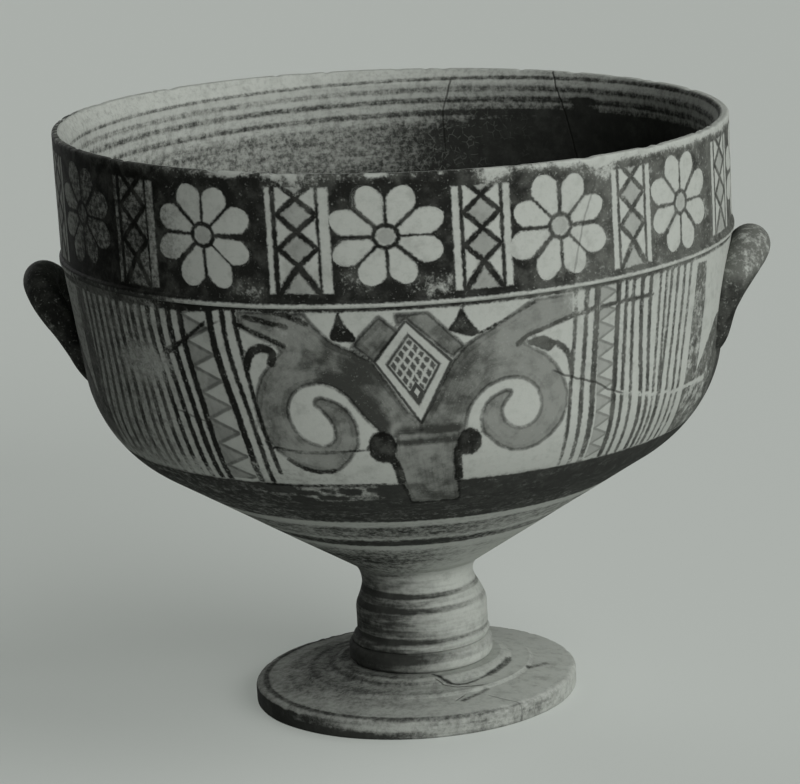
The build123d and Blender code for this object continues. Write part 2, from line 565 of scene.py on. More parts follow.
belt_top = 54.6
trunk_end = 66.0
left_tree = [
    (3.6, 38), (3.6, 33), (0, 30.5), (-7.6, 17.6), (-9, 15.6), (-14, 12.4), (-17, 11.2), (-20.4, 9),
    (-24, 5.2), (-26.6, 1.3), (-46, 1.3), (-46, 5.6), (-41, 8), (-36, 10.2), (-34, 12.6), (-37.6, 15.6),
    (-40.8, 20), (-43, 25), (-43.9, 29.5), (-43.4, 34), (-41.6, 38.2), (-39, 42), (-35, 46),
    (-30, 48.8), (-26, 49.2), (-21.5, 48.4), (-18, 45.4), (-15.6, 41.5), (-12, 41), (-8, 40), (-4, 38),
]
left_pale = [
    (-26, 27.6), (-24.4, 29.2), (-22.4, 31.6), (-21.1, 34.2), (-20.8, 36.6), (-21.7, 39), (-24, 40.2),
    (-27, 39.9), (-29.6, 38.6), (-32.1, 36), (-33.7, 32.5), (-33.9, 29), (-32.6, 25.6), (-30.2, 23.2),
    (-27, 21.9), (-23.2, 21.8), (-19.6, 23), (-16.2, 25.9), (-13.2, 30), (-10.8, 33.2), (-8.4, 36),
    (-10, 38), (-11.6, 42.6), (-15.6, 43.4), (-14.7, 40), (-14.4, 36), (-15.1, 32.6), (-16.8, 29.7),
    (-19.3, 27.6), (-22, 26.4), (-24.8, 25.9),
]
right_tree = [
    (3.6, 38), (3.6, 33), (6, 30), (13, 17), (16.5, 12.8), (20, 10.5), (25, 8), (31, 4.5), (36, 1.5),
    (48, 1.5), (48, 7.6), (41, 10), (36, 11.3), (32.5, 13.2), (36, 15.4), (40, 18), (43, 21.4),
    (45.5, 25.4), (47, 30), (46.8, 34), (45, 38.5), (42, 42), (38, 44.7), (34, 45.7), (30, 45.2),
    (26, 43), (23, 40), (21, 38), (17, 38), (12, 38),
]
right_pale = [
    (29.6, 27.8), (28.3, 29.4), (27, 31.4), (26.8, 33.6), (28, 36), (30.6, 38), (33.6, 38.4),
    (36.5, 37), (38.4, 34.4), (38.7, 31), (37.4, 27.4), (35, 24.9), (32, 23.5), (28.4, 23.2),
    (24.7, 24.1), (21.6, 25.8), (19.2, 28.2), (17.4, 31), (16.4, 34), (16.2, 37.2), (18.6, 38.4),
    (21.6, 39.4), (20.9, 36.6), (20.9, 33.6), (21.8, 30.9), (23.8, 28.6), (26.4, 27.3), (28.8, 26.9),
]
trunk = [
    (-3.5, 36), (14.5, 36), (14, 45), (14.7, 55), (16.5, 66), (-0.5, 66), (-3, 55), (-4.5, 46),
    (-4, 40),
]
left_roof = [(-14, 10.7), (-6.4, 2.6), (-1, 7.6), (-8.2, 15.8)]
right_roof = [(-2, 2.2), (6.8, 2.2), (16.3, 12.6), (13, 15.4), (0.8, 3.6), (-1.2, 5.4)]
lozenge = [(0.8, 4.6), (12.4, 16.7), (3.6, 33.5), (-7.9, 15.8)]
left_bud = [
    (-17.2, 1), (-15.4, 4.8), (-12.6, 8.6), (-13.6, 9.9), (-16.4, 9.7), (-19, 9.3), (-20, 7.9),
    (-18.5, 4.6),
]
right_bud = [
    (16, 1), (17.3, 4.2), (20.4, 8.8), (19.2, 10), (16.6, 9.6), (13.8, 8.5), (11.9, 7.7), (14, 4.8),
]
left_drop = [
    (-44.3, 18), (-43.3, 15.3), (-41, 14), (-38.5, 14.3), (-37.6, 16.2), (-40, 19), (-42.5, 22),
    (-43.8, 24.5),
]
right_drop = [
    (40.6, 18), (43.5, 15.8), (46.5, 17.5), (47.8, 21), (47.5, 23.5), (44.5, 21.6), (42, 19.8),
]
right_hook = [(33, 14), (36, 12.6), (39.5, 12.3), (43.6, 15), (41.2, 17.3), (38.8, 16.6), (36.5, 15)]
handle_shade = [
    (99.6, 2.5), (105.8, 2.5), (107, 14), (106.3, 26), (104.5, 36), (112, 28), (119, 22), (140, 18),
    (140, 56), (97.5, 56), (96.6, 40), (98.4, 25), (99.3, 12),
]
panel_strokes = [
    ([(-44.8, 17), (-44, 14.2), (-41.5, 12), (-38.8, 11.6), (-36.6, 13.2), (-37.4, 16)], 2.6),
    ([(43, 15), (45.6, 17), (47.4, 20), (48.2, 24)], 1.7),
    ([(31.5, 13.8), (35, 11.4), (40, 10.1), (47, 8.2), (55, 7)], 1.4),
    ([(57.5, 6.9), (66, 6.6), (77, 6.9)], 1.3),
    ([(-71, 14.6), (-64, 10.2), (-57, 5.4)], 1.3),
    ([(-5.6, 44), (-3.6, 49), (-2.8, 55), (-1, 62)], 2.6),
    ([(13.8, 43), (14.2, 50), (14.8, 56), (17, 65)], 2.7),
    ([(-36, 45), (-32, 48), (-27, 49.2), (-22.5, 48.8)], 1.6),
    ([(-40, 41), (-31, 42.4), (-20, 42.2), (-12.6, 41.6)], 0.9),
    ([(-44, 2.6), (-32, 5.2)], 1.6),
    ([(-47, 4.6), (-33, 10.8)], 1.5),
    ([(-38, 0.6), (-32, 1.8), (-26, 4.4)], 1.7),
    (
        [(-47, 1), (-46.5, 8), (-45.6, 15), (-44.6, 22), (-43.5, 29), (-42.2, 36), (-41, 42), (-40.2, 50)],
        1.5,
    ),
    ([(20.5, 9.6), (37, 2)], 0.9),
]
# Upright rules: place at the top, drift on the way down and width
left_rules = [
    (-50.6, 6.6, 1.7), (-54.8, 6.7, 2.4), (-65.0, 5.4, 2.2), (-69.2, 6.1, 2.2), (-73.5, 6.5, 2.0),
    (-77.3, 6.2, 2.0), (-80.8, 5.6, 1.9), (-84.3, 4.8, 1.9), (-87.3, 4.0, 1.8), (-91.2, 2.9, 2.0),
    (-95, 1.8, 2.0), (-98.6, 0.6, 2.0), (-102.5, -0.6, 2.0), (-106.6, -1.4, 2.0), (-110.5, -2.0, 2.0),
    (-114.5, -2.4, 2.0),
]
right_rules = [
    (49, -1.6, 1.2), (52.5, -1.2, 1.5), (56, -0.8, 2.0), (63.5, -0.4, 1.9), (66.5, -0.2, 1.4),
    (69.2, 0.8, 1.3), (72.6, 1.8, 1.7), (76.1, 1.2, 1.5), (80.2, -0.4, 1.1), (82.9, -0.8, 1.1),
    (85.3, -2.4, 1.2), (88.5, -2.2, 1.3), (92, -2.2, 1.4), (95.5, -2.8, 1.3),
]
# Dabs left on the belt: start, end, depth and width
belt_dabs = [
    (-47, -40, 57, 3.0), (-38, -31, 58.4, 1.7), (-28.5, -25, 57.3, 1.3), (-22, -17.6, 57.8, 2.6),
    (-13.4, -11, 57, 1.6), (-8.6, -4.4, 58, 5.0), (-30, -22, 61, 1.5), (-40, -34, 61.8, 1.6),
]
panel_wear = [
    (-34, 6, 14, 9, 0.5), (-82, 20, 13, 8, 0.8), (49, 4, 6, 7, 0.9), (28, 14, 14, 9, 0.3),
    (-28, 45, 12, 6, 0.5), (-48, 49, 18, 9, 0.5),
]


def panel_wash(canvas):
    """Distance to the thin-washed tree and the roofs over its lozenge."""
    tree = joined(*(canvas.shape(outline) for outline in (left_tree, right_tree, trunk)))
    voids = (left_pale, right_pale, left_drop, right_drop)
    pale = (canvas.shape(outline, smooth=True) for outline in voids)
    gap = canvas.shape(lozenge)
    roofs = joined(canvas.shape(left_roof), canvas.shape(right_roof))
    return joined(np.maximum(tree, -joined(*pale, gap)), np.maximum(roofs, -gap))


def panel_dark(canvas):
    """Distance to the dark rules, buds, strokes and corners."""
    x, y = canvas.across, canvas.down
    rules = []
    for at, drift, width in left_rules + right_rules:
        bent = Canvas(x - drift * rising(y, 6, 46), y)
        rules.append(bent.ruled([(at, 0), (at, 54)], width))
    buds = [
        canvas.shape(left_bud, smooth=True),
        canvas.shape(right_bud, smooth=True),
        canvas.shape(right_hook),
        canvas.oval(-7.7, 41, 4.2, 5.2),
        canvas.oval(17.2, 41, 3.7, 4.4),
    ]
    strokes = [canvas.stroke(points, width) for points, width in panel_strokes]
    corners = [canvas.shape(handle_shade), Canvas(-x - 14, y).shape(handle_shade)]
    return joined(*rules, *buds, *strokes, *corners)


def panel_strength(canvas, in_view):
    """How thick the paint lies: more by the lozenge, down the left arm and in two lines on the trunk."""
    x = canvas.across
    thick = [(-13, 20, 18, 18, 0.75), (11, 24, 12, 16, 0.5), (-28, 44, 12, 5, -0.4)]
    strong = 0.5 + canvas.patches(thick)
    strong += (0.25 * rising(-x, 20, 60) - 0.35 * rising(x, 20, 34) - 0.42 * rising(-x, 64, 84)) * in_view
    arm = flowing([(-22, 20.6), (-17.6, 22.6), (-13.4, 27.4), (-7.6, 34.8)])
    strong += 0.8 * falling(canvas.nearest(arm), 0.6, 4)
    strong += 0.9 * falling(canvas.nearest([(-3, 36.4), (13.6, 36.2)]), 0.3, 1.9)
    return strong + 0.9 * falling(canvas.nearest([(-3, 39.6), (13.6, 39.4)]), 0.3, 1.7)


def panel_losses(canvas, in_view):
    """How far the paint is worn: in patches, at the rules' lower ends and along a break on the right."""
    x, y = canvas.across, canvas.down
    worn = 0.15 + canvas.patches(panel_wear)
    worn += (0.25 * rising(x, 60, 80) + 0.3 * rising(x, 80, 100) + 0.4 * rising(-x, 62, 74)) * in_view
    worn += 0.6 * rising(y, 44, 54) * rising(-x, 58, 72) * in_view
    worn += 0.6 * rising(y, 42, 52) * rising(x, 42, 46) * falling(x, 56, 62)
    break_line = [(64, 33), (76, 36.2), (90, 38.4), (112, 39)]
    return worn + 0.9 * falling(canvas.nearest(break_line), 0.2, 0.8)


def zigzag_place(canvas):
    """Place in the nearer zigzag strip: -1 to 1 across, turns down from the top, and 1 close by."""
    left = (canvas.across + 60.2 - 6.2 * rising(canvas.down, 6, 46)) / 4.4
    right = (canvas.across - 59.8) / 2.9
    across = np.where(canvas.across < 0, left, right)
    down = np.where(canvas.across < 0, canvas.down / 7.6 + 0.1, canvas.down / 5.3 + 0.4)
    return np.stack((across, down, np.where(np.abs(across) < 1.6, 1.0, 0.0)), 1)


def lozenge_place(canvas):
    """Place in the lozenge from its top corner, 0 to 1 along both upper sides, and 1 close by."""
    top, right, bottom, left = (np.array(corner, float) for corner in lozenge)
    to_right, to_left, bend = right - top, left - top, top - right + bottom - left
    first = np.full(canvas.across.shape, 0.5)
    second = np.full(canvas.across.shape, 0.5)
    for _ in range(8):
        x = top[0] + first * to_right[0] + second * to_left[0] + first * second * bend[0] - canvas.across
        y = top[1] + first * to_right[1] + second * to_left[1] + first * second * bend[1] - canvas.down
        xa, xb = to_right[0] + second * bend[0], to_left[0] + first * bend[0]
        ya, yb = to_right[1] + second * bend[1], to_left[1] + first * bend[1]
        size = xa * yb - xb * ya
        size = np.where(np.abs(size) < 1e-3, 1e-3, size)
        first = np.clip(first - (x * yb - xb * y) / size, -3, 3)
        second = np.clip(second - (xa * y - x * ya) / size, -3, 3)
    far = (np.abs(canvas.across - 2) > 14) | (np.abs(canvas.down - 18) > 19)
    close = (np.abs(canvas.across - 2.3) < 11.6) & (np.abs(canvas.down - 19) < 15.6)
    first, second = (np.clip(np.where(far, -1, share), -1, 2) for share in (first, second))
    return np.stack((first, second, np.where(close, 1.0, 0.0)), 1)


def shaded(piece, left, right):
    """Painted shade: an amount that goes from one value on the left of the view to another on the right.
    """
    side = 0.5 + 0.5 * np.sin(np.radians(piece.angle))
    return left + (right - left) * rising(side, 0.15, 0.95)


def inner_shade(angle, depth):
    """Dark paint and painted shade inside the cup: painted shade thick and low on the side away from the
    light, little on the other, evening out to an even dark coat towards the floor, and a painted shadow in
    a break.
    """
    side = rising(np.cos(np.radians(angle - 101)), 0.0, 0.85)
    side = side + (0.5 - side) * rising(depth, 26, 46)
    # Painted shade, deeper lower down the wall
    deeper_shade = 0.3 + 0.9 * rising(depth, 7, 16)
    clear = 0.16 * rising(depth, 8, 11) - 0.22 * rising(depth, 18, 23)
    # Painted shadow in a break on the shaded side
    wedge = falling(np.abs(angle - 141.5 + 0.2 * depth), 1.6, 3.6)
    wedge = wedge * rising(depth, 6, 9) * falling(depth, 20, 30)
    return side * deeper_shade + (1 - side) * clear + 0.5 * wedge + 0.06 * rising(depth, 2, 4)


def bowl_layers(piece):
    """Paint of the lower bowl, outside and inside, with painted shade on the view's left outside and on
    one side inside.
    """
    outer_end = piece.row_at(shoulder_radius, shoulder_height)
    outside = piece.row <= outer_end
    folded = (piece.angle + 96) % half_round - 96
    canvas = Canvas(folded * millimetres_per_degree, (piece.arc[outer_end] - piece.arc)[piece.row])
    x, down, z = canvas.across, canvas.down, piece.height
    in_view = falling(np.abs(x + 10), 118, 150)
    below = rising(down, belt_top - 0.6, belt_top + 0.6)

    line_foot = shoulder_height - 1.0 - 1.3 * rising(-x, 48, 62)
    ridge_line = np.maximum(z - shoulder_height - 0.7, line_foot - z)
    broken_line = canvas.ruled([(-47, 55.2), (-8, 54.6)], 0.9)
    broken_line = np.maximum(broken_line, 0.35 - canvas.soft(-28, 55, 30, 3))
    dark = joined(np.maximum(panel_dark(canvas), down - belt_top), ridge_line, broken_line)
    wash = np.maximum(panel_wash(canvas), down - trunk_end)
    strong = panel_strength(canvas, in_view) * (1 - below) + below * 0.8
    worn = panel_losses(canvas, in_view) * (1 - below) + below * 0.3

    on_trunk = falling(canvas.shape(trunk), -1.8, -0.3) * falling(down, trunk_end - 3, trunk_end)
    # Fewer dark bands on the lit right of the cone: painted light
    lit_cone = rising(piece.angle, 0, 40) * falling(piece.angle, 80, 120) * falling(z, 66, 72)
    banded = below * (1 - on_trunk) * (1 - 0.72 * canvas.soft(-27, 58, 25, 6.5))
    banded = banded * (1 - 0.15 * rising(-x, 30, 60) * in_view) * (1 - 0.32 * lit_cone)

    dabs = [canvas.ruled([(start, y), (end, y + 0.5)], width) for start, end, y, width in belt_dabs]
    # Darker on the view's left and towards the cone's lower left: painted shade; the dabs are dark paint
    # on the belt
    stain_and_shade = 0.52 * rising(-x, 52, 90) * in_view * rising(z, 86, 90)
    stain_and_shade = stain_and_shade + shaded(piece, 0.6, -0.25) * falling(z, 42, 62)
    stain_and_shade = stain_and_shade + 0.34 * canvas.soft(-36, 51, 30, 10) + 0.62 * falling(joined(*dabs), -0.5, 1.0)
    inked = 1 - canvas.patches([(-33, 45, 9, 4, 0.9), (48.5, 4.5, 5, 9, 1.0)])
    return {
        "dark": np.where(outside, dark, bare),
        "wash": np.where(outside, wash, bare),
        "strong": np.where(outside, strong, 0.6),
        "wear": np.where(outside, worn, 0.4),
        "smear": np.where(outside, stain_and_shade, 0.22 + inner_shade(piece.angle, cup_height - z)),
        "banded": np.where(outside, banded, 0.0),
        "inked": np.where(outside & (down < 56), inked, 0.0),
        "lozenge": np.where(outside[:, None], lozenge_place(canvas), 0.0),
        "zigzag": np.where((outside & (down < 54))[:, None], zigzag_place(canvas), 0.0),
        "marks": np.where(outside, 0.05, 0.6),
    }


def inner_wall_layers(angle, depth):
    """Broken brush lines round the inside of the wall, worn dark paint below them, and painted shade on
    the side away from the light.
    """
    scratched = rising(np.cos(np.radians(angle - 250)), -0.35, 0.3)
    return {
        "dark": bare,
        "wash": bare,
        "strong": 0.8,
        "wear": 0.75,
        "smear": inner_shade(angle, depth),
        "banded": 1.0,
        "marks": (0.1 + 0.8 * rising(depth, 10, 17)) * scratched,
    }


def plain_layers(smear):
    """Layers of a turned piece whose paint lies in worn bands; its smear layer also carries painted shade.
    """
    return {
        "dark": bare, "wash": bare, "strong": 0.6, "wear": 0.4, "smear": smear, "banded": 1.0,
        "crack": bare, "cracked": 0.0, "marks": 0.0,
    }


def crack_lines(angle, height, cracks):
    """Signed distance to the nearest crack, each a line of (view angle, height), and its strength."""
    best = np.full(angle.shape, bare)
    side = np.full(angle.shape, bare)
    strength = np.zeros(angle.shape)
    for share, crack in cracks:
        middle = sum(p[0] for p in crack) / len(crack)
        x = wrapped(angle - middle) * millimetres_per_degree
        run = [((a - middle) * millimetres_per_degree, z) for a, z in crack]
        for start, end in zip(run, run[1:]):
            away = Canvas(x, height).nearest([start, end])
            dx, dy = end[0] - start[0], end[1] - start[1]
            across = ((x - start[0]) * dy - (height - start[1]) * dx) / np.hypot(dx, dy)
            side = np.where(away < best, across, side)
            strength = np.where(away < best, share, strength)
            best = np.minimum(best, away)
    return {"crack": side, "cracked": strength * falling(best, 1.2, 2.6)}


outer_cracks = [
    (0.8, [(26, 116.5), (29.5, 114), (33.5, 111.6), (36, 109), (38.5, 107.2)]),
    (0.6, [(-43, 126), (-37, 131), (-32, 135)]),
    (0.6, [(-41.5, 108), (-36, 105.6)]),
    (0.4, [(33, 168), (31, 160), (29.5, 150), (28.5, 143)]),
]
inner_cracks = [
    (0.9, [(147, 176), (145, 168), (143.5, 160), (142, 150)]),
    (0.75, [(168, 172), (169.5, 164), (169.5, 152)]),
]


# Finishes

pale_clay = (0.44, 0.465, 0.425, 1)
stained_clay = (0.27, 0.285, 0.257, 1)
thin_wash = (0.23, 0.243, 0.22, 1)
thick_wash = (0.02, 0.0212, 0.018, 1)
worn_black = (0.12, 0.126, 0.112, 1)
deep_black = (0.005, 0.0053, 0.0042, 1)
crack_dirt = (0.02, 0.02, 0.017, 1)


class ClayFinish(Graph):
    """Fired clay with slip paint: layers say where paint lies, noise frays its edges and wears it."""

    scraped = False

    def __init__(self, name, stain, bump, lift=0.0):
        self.material = bpy.data.materials.new(name)
        self.material.use_nodes = True
        super().__init__(self.material.node_tree)
        self.stain, self.bump, self.lift = stain, bump, lift
        self.place = self.node("ShaderNodeTexCoord", out="Object")
        self.fray = (self.grain(1.0) - 0.5) * 0.95 + (self.grain(4.5) - 0.5) * 0.42
        self.flakes = self.grain(3.0, 6.0, 0.7)
        self.specks = self.grain(0.7, 2.0)
        self.grit = self.grain(1.5, 4.0, 0.75)
        self.rubbed = self.grain(13.0, 4.0, 0.6)
        self.turning = self.grain(1.3, 4.0, 0.62, stretch=(0.06, 0.06, 1.0))
        self.dashes = self.grain(1.5, 3.0, 0.6, stretch=(0.2, 0.2, 1.0))

    def layer(self, called, part="Fac"):
        """A paint layer of the mesh."""
        return self.node("ShaderNodeAttribute", {"attribute_name": called}, out=part)

    def parts(self, called):
        """The three numbers of a vector layer."""
        spot = self.split(self.layer(called, "Vector"))
        return spot["X"], spot["Y"], spot["Z"]

    def grain(self, size, detail=2.0, rough=0.5, stretch=(1, 1, 1)):
        """Noise with features of a size in millimetres."""
        moved = self.node("ShaderNodeMapping", None, {"Vector": self.place, "Scale": stretch})
        sockets = {"Vector": moved, "Scale": 1 / (size * MM), "Detail": detail, "Roughness": rough}
        return self.node("ShaderNodeTexNoise", None, sockets)

    def threads(self, size):
        """1 on the thin threads of a net with meshes of a size in millimetres."""
        wide = {"Vector": self.place, "Scale": 0.25 / (size * MM)}
        bent = self.scaled(self.node("ShaderNodeTexNoise", None, wide, out="Color"), size * MM * 1.5)
        meshes = {"Vector": self.moved(self.place, bent), "Scale": 1 / (size * MM)}
        net = self.node("ShaderNodeTexVoronoi", {"feature": "DISTANCE_TO_EDGE"}, meshes)
        return self.ramp(net, 0.07, 0.0)

    def profile(self, measure, stops):
        """Amount of paint along the height or the radius, from (millimetres, amount) stops."""
        spot = self.split(self.place)
        radius = self.math("SQRT", spot["X"] * spot["X"] + spot["Y"] * spot["Y"])
        value = (radius if measure == "radius" else spot["Z"]) / MM
        low, high = stops[0][0], stops[-1][0]
        amount = self.node("ShaderNodeValToRGB", None, {"Fac": (value - low) / (high - low)})
        ramp = amount.socket.node.color_ramp
        for at, share in stops[1:-1]:
            ramp.elements.new((at - low) / (high - low)).color = (share, share, share, 1)
        for end, (_, share) in ((0, stops[0]), (-1, stops[-1])):
            ramp.elements[end].color = (share, share, share, 1)
        return amount

    def bold(self, noise):
        """Noise with more contrast, around 0."""
        return self.ramp(noise, 0.36, 0.64) - 0.5

    def within(self, distance, soft=0.36):
        """1 inside a painted edge, 0 outside."""
        return self.ramp(distance + self.fray, soft, -soft)

    def paint(self):
        """Shares of dark paint and of wash, as the layers give them."""
        return self.within(self.layer("dark")), self.within(self.layer("wash"))

    def losses(self):
        """Shares of paint that has flaked off and that is worn thin."""
        wear = self.layer("wear")
        loss = self.flakes * 0.7 + self.specks * 0.2 + self.rubbed * 0.3
        dots = self.ramp(self.specks * 0.5 + self.grit * 0.6 + wear * 0.1, 0.64, 0.76) * 0.4
        gone = self.most(self.ramp(loss + wear * 0.27, 0.74, 0.95), dots)
        return gone, self.ramp(loss + wear * 0.25, 0.55, 0.90)

    def clay(self):
        """The bare clay's colour, with stains in clouds, mottles and grit."""
        clouds = self.grain(24.0, 4.0, 0.55)
        mottle = self.ramp(self.grain(4.0, 5.0, 0.62), 0.42, 0.75)
        dirt = self.ramp(clouds * 0.6 + mottle * 0.35 + self.specks * 0.2, 0.42, 0.9) * self.stain
        gritty = (self.bold(self.grit) + self.bold(self.flakes) * 0.6 - 0.15) * self.stain * 0.35
        return self.mix(self.most(dirt, gritty), pale_clay, stained_clay)

    def blotches(self):
        """Unevenness of the paint, around 0: blots, rubbing, grit and the brush's sweep along an edge."""
        along = self.layer("wash") * 0.8 + self.rubbed * 3.0
        sweep = {"W": along, "Scale": 1.0, "Detail": 3.0, "Roughness": 0.6}
        brush = self.node("ShaderNodeTexNoise", {"noise_dimensions": "1D"}, sweep)
        blots = self.bold(self.grain(5.0, 3.0, 0.5)) * 0.45 + self.bold(self.rubbed) * 0.3
        return blots + self.bold(self.grit) * 0.18 + self.bold(brush) * 0.15

    def smeared(self, bands, measure, coat, streaks, spots):
        """Share of a smeared coat and painted shade, streaked round the axis: none and full at two levels
        of its layer.
        """
        smear = self.layer("smear")
        if bands:
            smear = smear + self.profile(measure, bands) * self.layer("banded")
        streaky = (self.bold(self.turning) * 0.8 + self.bold(self.dashes)) * streaks
        spotty = (self.bold(self.flakes) + self.bold(self.grit)) * spots
        return self.ramp(smear + streaky + spotty, *coat)

    def cracks(self):
        """Share of dirt in the cracks."""
        away = self.size_of(self.layer("crack") + (self.grain(3.0) - 0.5) * 0.9)
        return self.ramp(away, 0.5, 0.1) * self.layer("cracked")

    def scrapes(self):
        """Share of the fine scratches that lay the clay open."""
        broken = self.ramp(self.grain(2.2, 2.0), 0.46, 0.54) * self.ramp(self.rubbed, 0.35, 0.55)
        return self.threads(2.8) * broken * self.layer("marks")

    def finish(self, bands=None, measure="height", coat=(0.05, 1.3), streaks=0.1, spots=0.07):
        """Lays clay, wash, smeared coat with painted shade, dark paint, scrapes and cracks over each
        other.
        """
        strong, patches = self.layer("strong"), self.blotches()
        gone, thin = self.losses()
        dark, wash = self.paint()
        dark, wash = dark * (1 - gone), wash * (1 - gone * 0.7)
        smear = self.smeared(bands, measure, coat, streaks, spots)
        wash_tone = self.mix(self.ramp(strong * 0.8 + patches * 0.85, 0.0, 1.15), thin_wash, thick_wash)
        # The smeared coat's tone, also used for painted shade
        smear_and_shade_tone = self.mix(self.ramp(patches * 0.3 + smear, 0.3, 1.1), worn_black, deep_black)
        body = self.ramp(strong * 0.9 + self.lift + patches * 0.6 - thin * 0.4, 0.0, 0.95)
        dark_tone = self.mix(body, worn_black, deep_black)
        colour = self.mix(wash * 0.94, self.clay(), wash_tone)
        colour = self.mix(smear * 0.93, colour, smear_and_shade_tone)
        colour = self.mix(dark * 0.98, colour, dark_tone)
        if self.scraped:
            colour = self.mix(self.scrapes() * 0.5, colour, stained_clay)
        crack = self.cracks()
        colour = self.mix(crack * 0.85, colour, crack_dirt)
        relief = self.specks * 0.2 + self.turning * 0.4 + self.flakes * 0.35 + dark * 0.22 - crack * 1.2
        bump = {"Strength": self.bump, "Distance": 0.0005, "Height": relief}
        look = {
            "Base Color": colour,
            "Roughness": 0.86 - dark * 0.16 - wash * 0.06 + (self.flakes - 0.5) * 0.2,
            "Normal": self.node("ShaderNodeBump", None, bump),
            "Specular IOR Level": 0.06,
        }
        surface = self.node("ShaderNodeBsdfPrincipled", None, look)
        self.node("ShaderNodeOutputMaterial", None, {"Surface": surface})
        return self.material


class WallFinish(ClayFinish):
    """The upper wall's finish, with rosettes and lattice panels left in its dark ground."""

    scraped = True

    def rosette(self):
        """Distances to the edge of a rosette's petals and eye, and to the wash on its eye."""
        x, y, number = self.parts("rosette")
        reach = self.math("SQRT", x * x + y * y)
        turn = self.math("ARCTAN2", y, x) / radians(45)
        petal = self.math("FLOOR", turn)
        key = self.node("ShaderNodeCombineXYZ", None, {0: number, 1: petal})
        flat = {"noise_dimensions": "2D"}
        chance = self.node("ShaderNodeTexWhiteNoise", flat, {"Vector": key}, out="Color")
        chance = self.node("ShaderNodeSeparateColor", None, {0: chance})
        aim = (turn - petal - 0.5) * radians(45) + (chance["Red"] - 0.5) * radians(5)
        along = reach * self.math("COSINE", aim)
        aside = self.size_of(reach * self.math("SINE", aim))
        tip = chance["Green"] * 1.6 + 13.7
        cap = self.node("ShaderNodeClamp", None, {"Value": (along - tip + 5.4) / 5.4})
        broad = self.least(along * 0.41 - 0.55, chance["Blue"] * 0.5 + 3.45)
        half = broad * self.math("SQRT", 1.001 - cap * cap)
        petals = self.most(aside - half, 3.6 - along, along - tip)
        return self.least(petals, reach - 2.4), reach - 2.2

    def lattice(self):
        """Distances to the pale parts of a lattice panel and to its thin-washed diamonds."""
        x, depth, uneven = self.parts("lattice")
        half, period, first, last = 5.2, 9.2, 6.5, 24.9
        aside = self.size_of(x)
        ends = self.most(3.7 - depth, depth - 32.5)
        bars = self.most(self.size_of(aside - 7.4) - 0.98 - uneven * self.math("SIGN", x), ends)
        wave = 1 - self.size_of(self.math("FRACT", (depth - first) / period) - 0.5) * 2
        low = (depth - last) / 7.4
        edge = self.most(wave * self.math("LESS_THAN", depth, last), low) * half
        cross = (aside - edge) * 0.64
        field = self.most(aside - half, ends, 0.8 - self.size_of(cross))
        return self.least(bars, field), self.most(cross + 0.6, ends)

    def paint(self):
        """Shares of the dark ground and of the wash on eyes and diamonds."""
        field, diamond = self.lattice()
        petals, eye = self.rosette()
        ground = self.most(self.layer("dark"), self.least(petals, field) * -1.0)
        return self.within(ground), self.most(self.within(diamond) * 0.42, self.within(eye, 0.5) * 0.36)


class BowlFinish(ClayFinish):
    """The bowl's finish: a washed tree with darker outlines, a chequered lozenge and zigzag strips."""

    scraped = True

    def lozenge(self):
        """Shares of the pale border and of the dark lines and dabs of the lozenge."""
        first, second, close = self.parts("lozenge")
        close = self.math("GREATER_THAN", close, 0.99)
        edge = self.least(first, second, 1 - first, 1 - second) + self.fray * 0.03
        pale = self.ramp(edge, -0.005, 0.02)
        lines = self.ramp(self.size_of(edge - 0.15), 0.046, 0.006)
        lines = lines + self.ramp(self.size_of(edge + 0.02), 0.045, 0.01)
        dabs = self.ramp(edge, 0.175, 0.2) * 0.95
        for share in (first, second):
            away = self.size_of(self.math("FRACT", (share - 0.17) / 0.66 * 5.0 + self.fray * 0.5) - 0.5)
            dabs = dabs * self.ramp(away, 0.48, 0.22)
        bead = self.most(self.size_of(first - 0.74), self.size_of(second - 0.74))
        dabs = dabs * self.ramp(bead, 0.09, 0.12) + self.ramp(self.size_of(bead - 0.07), 0.04, 0.02)
        return pale * close, self.least(lines + dabs, 1.0) * close

    def zigzag(self):
        """Shares of a zigzag line and of the washed triangles beside it."""
        across, down, close = self.parts("zigzag")
        swing = self.size_of(self.math("FRACT", down) - 0.5) * 4 - 1
        away = across - swing * 0.95 + self.fray * 0.25
        held = self.ramp(self.size_of(across), 1.05, 0.98) * self.math("GREATER_THAN", close, 0.99)
        triangles = self.ramp(away, 0.2, -0.2) * 0.75 + 0.25
        return self.ramp(self.size_of(away), 0.5, 0.12) * held, triangles * held

    def paint(self):
        """Shares of dark paint, with the outlines, and of the wash."""
        dark, wash = super().paint()
        away = self.size_of(self.layer("wash") + self.fray * 0.6)
        outline = self.ramp(away, 0.95, 0.2) * self.layer("inked")
        outline = outline * self.ramp(self.flakes * 0.6 + self.rubbed * 0.4, 0.3, 0.55)
        pale, lines = self.lozenge()
        zigzag, triangles = self.zigzag()
        dark = self.most(self.most(dark, outline * 0.75) * (1 - pale), lines * 0.9, zigzag * 0.36)
        return dark, self.most(wash * (1 - pale), triangles * 0.66, zigzag * 0.8)


